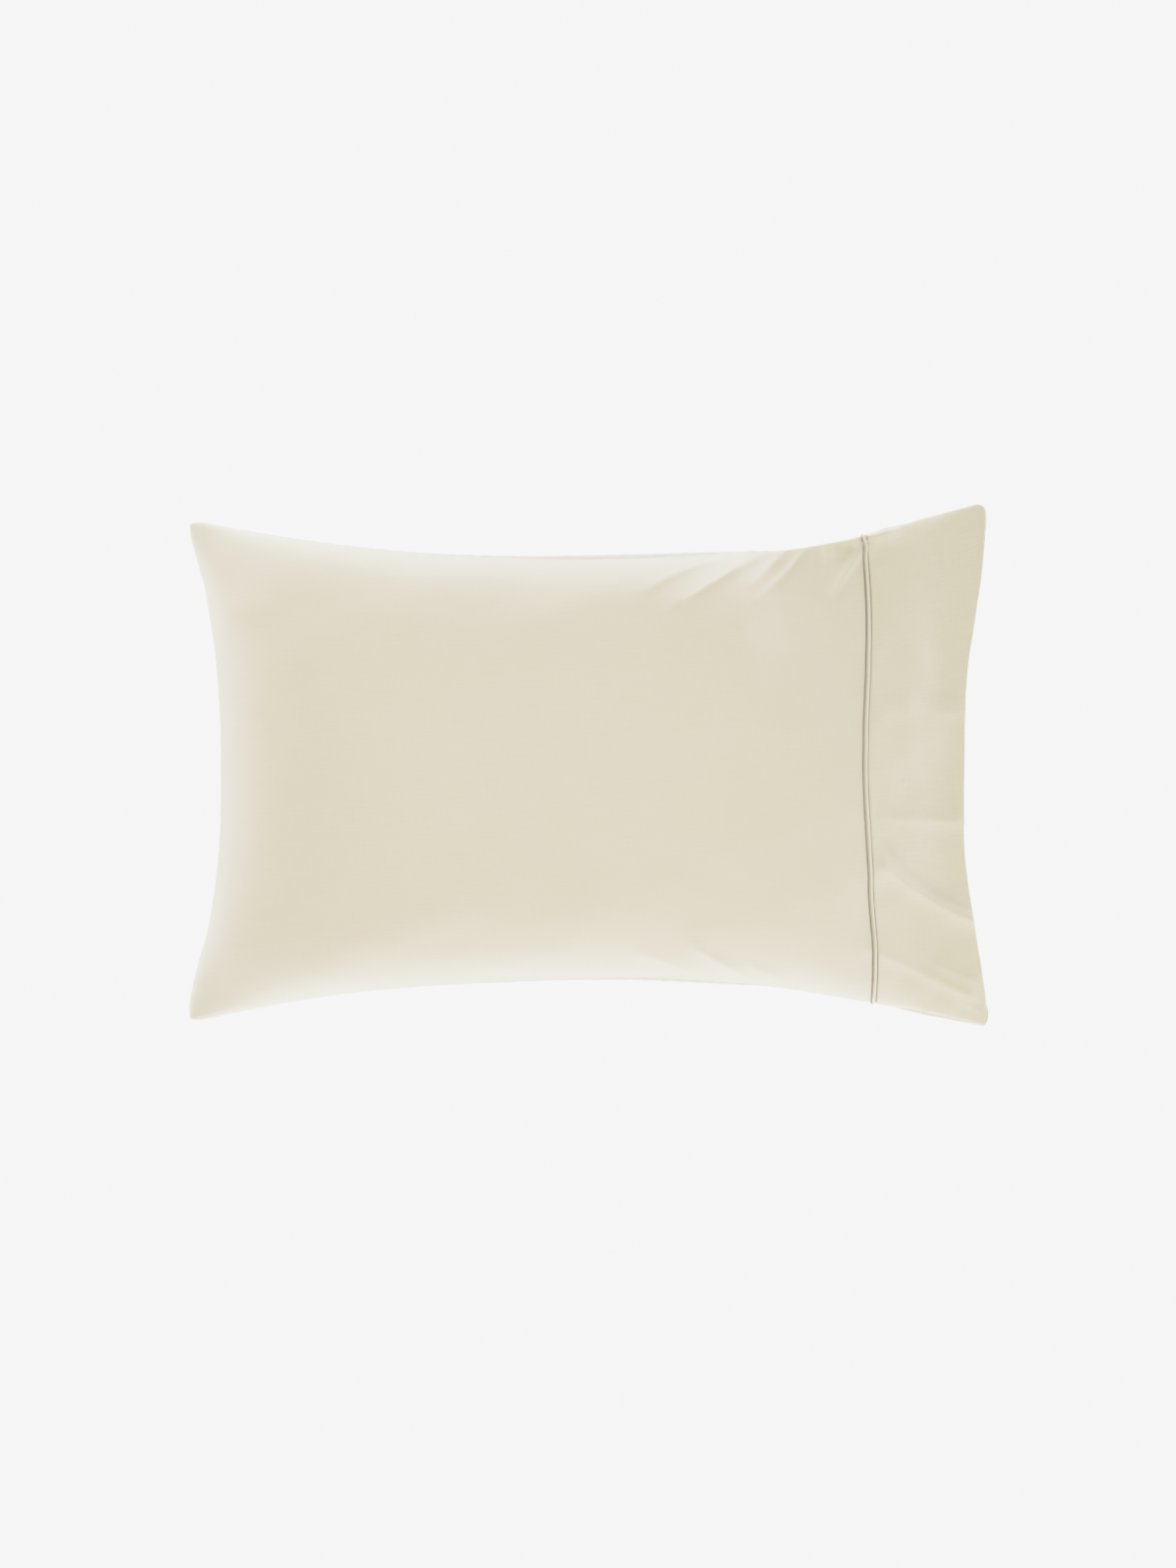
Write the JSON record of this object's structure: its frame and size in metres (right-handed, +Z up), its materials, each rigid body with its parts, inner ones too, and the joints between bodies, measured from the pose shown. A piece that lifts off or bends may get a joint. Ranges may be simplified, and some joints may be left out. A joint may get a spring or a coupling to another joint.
{
  "type": "filled pillowcase",
  "caption": "Plump pillowcase in cream plain-weave cloth, lying on its back, with drawn-in sides, a deep open cuff and a narrow tuck at the join.",
  "frame": {"origin": "on the surface that the case lies on, under the middle of its plan", "axes": "+X towards the open mouth, +Y towards the upper side seam, +Z up out of the front panel"},
  "size_m": [0.729, 0.4788, 0.1701],
  "materials": {
    "case_cloth": "matt plain weave",
    "cuff_cloth": "matt plain weave, doubled",
    "tuck_cloth": "matt plain weave, folded"
  },
  "bodies": {
    "root": {"case_body": "case_cloth", "cuff": "cuff_cloth", "join_tuck": "tuck_cloth"}
  },
  "joints": []
}
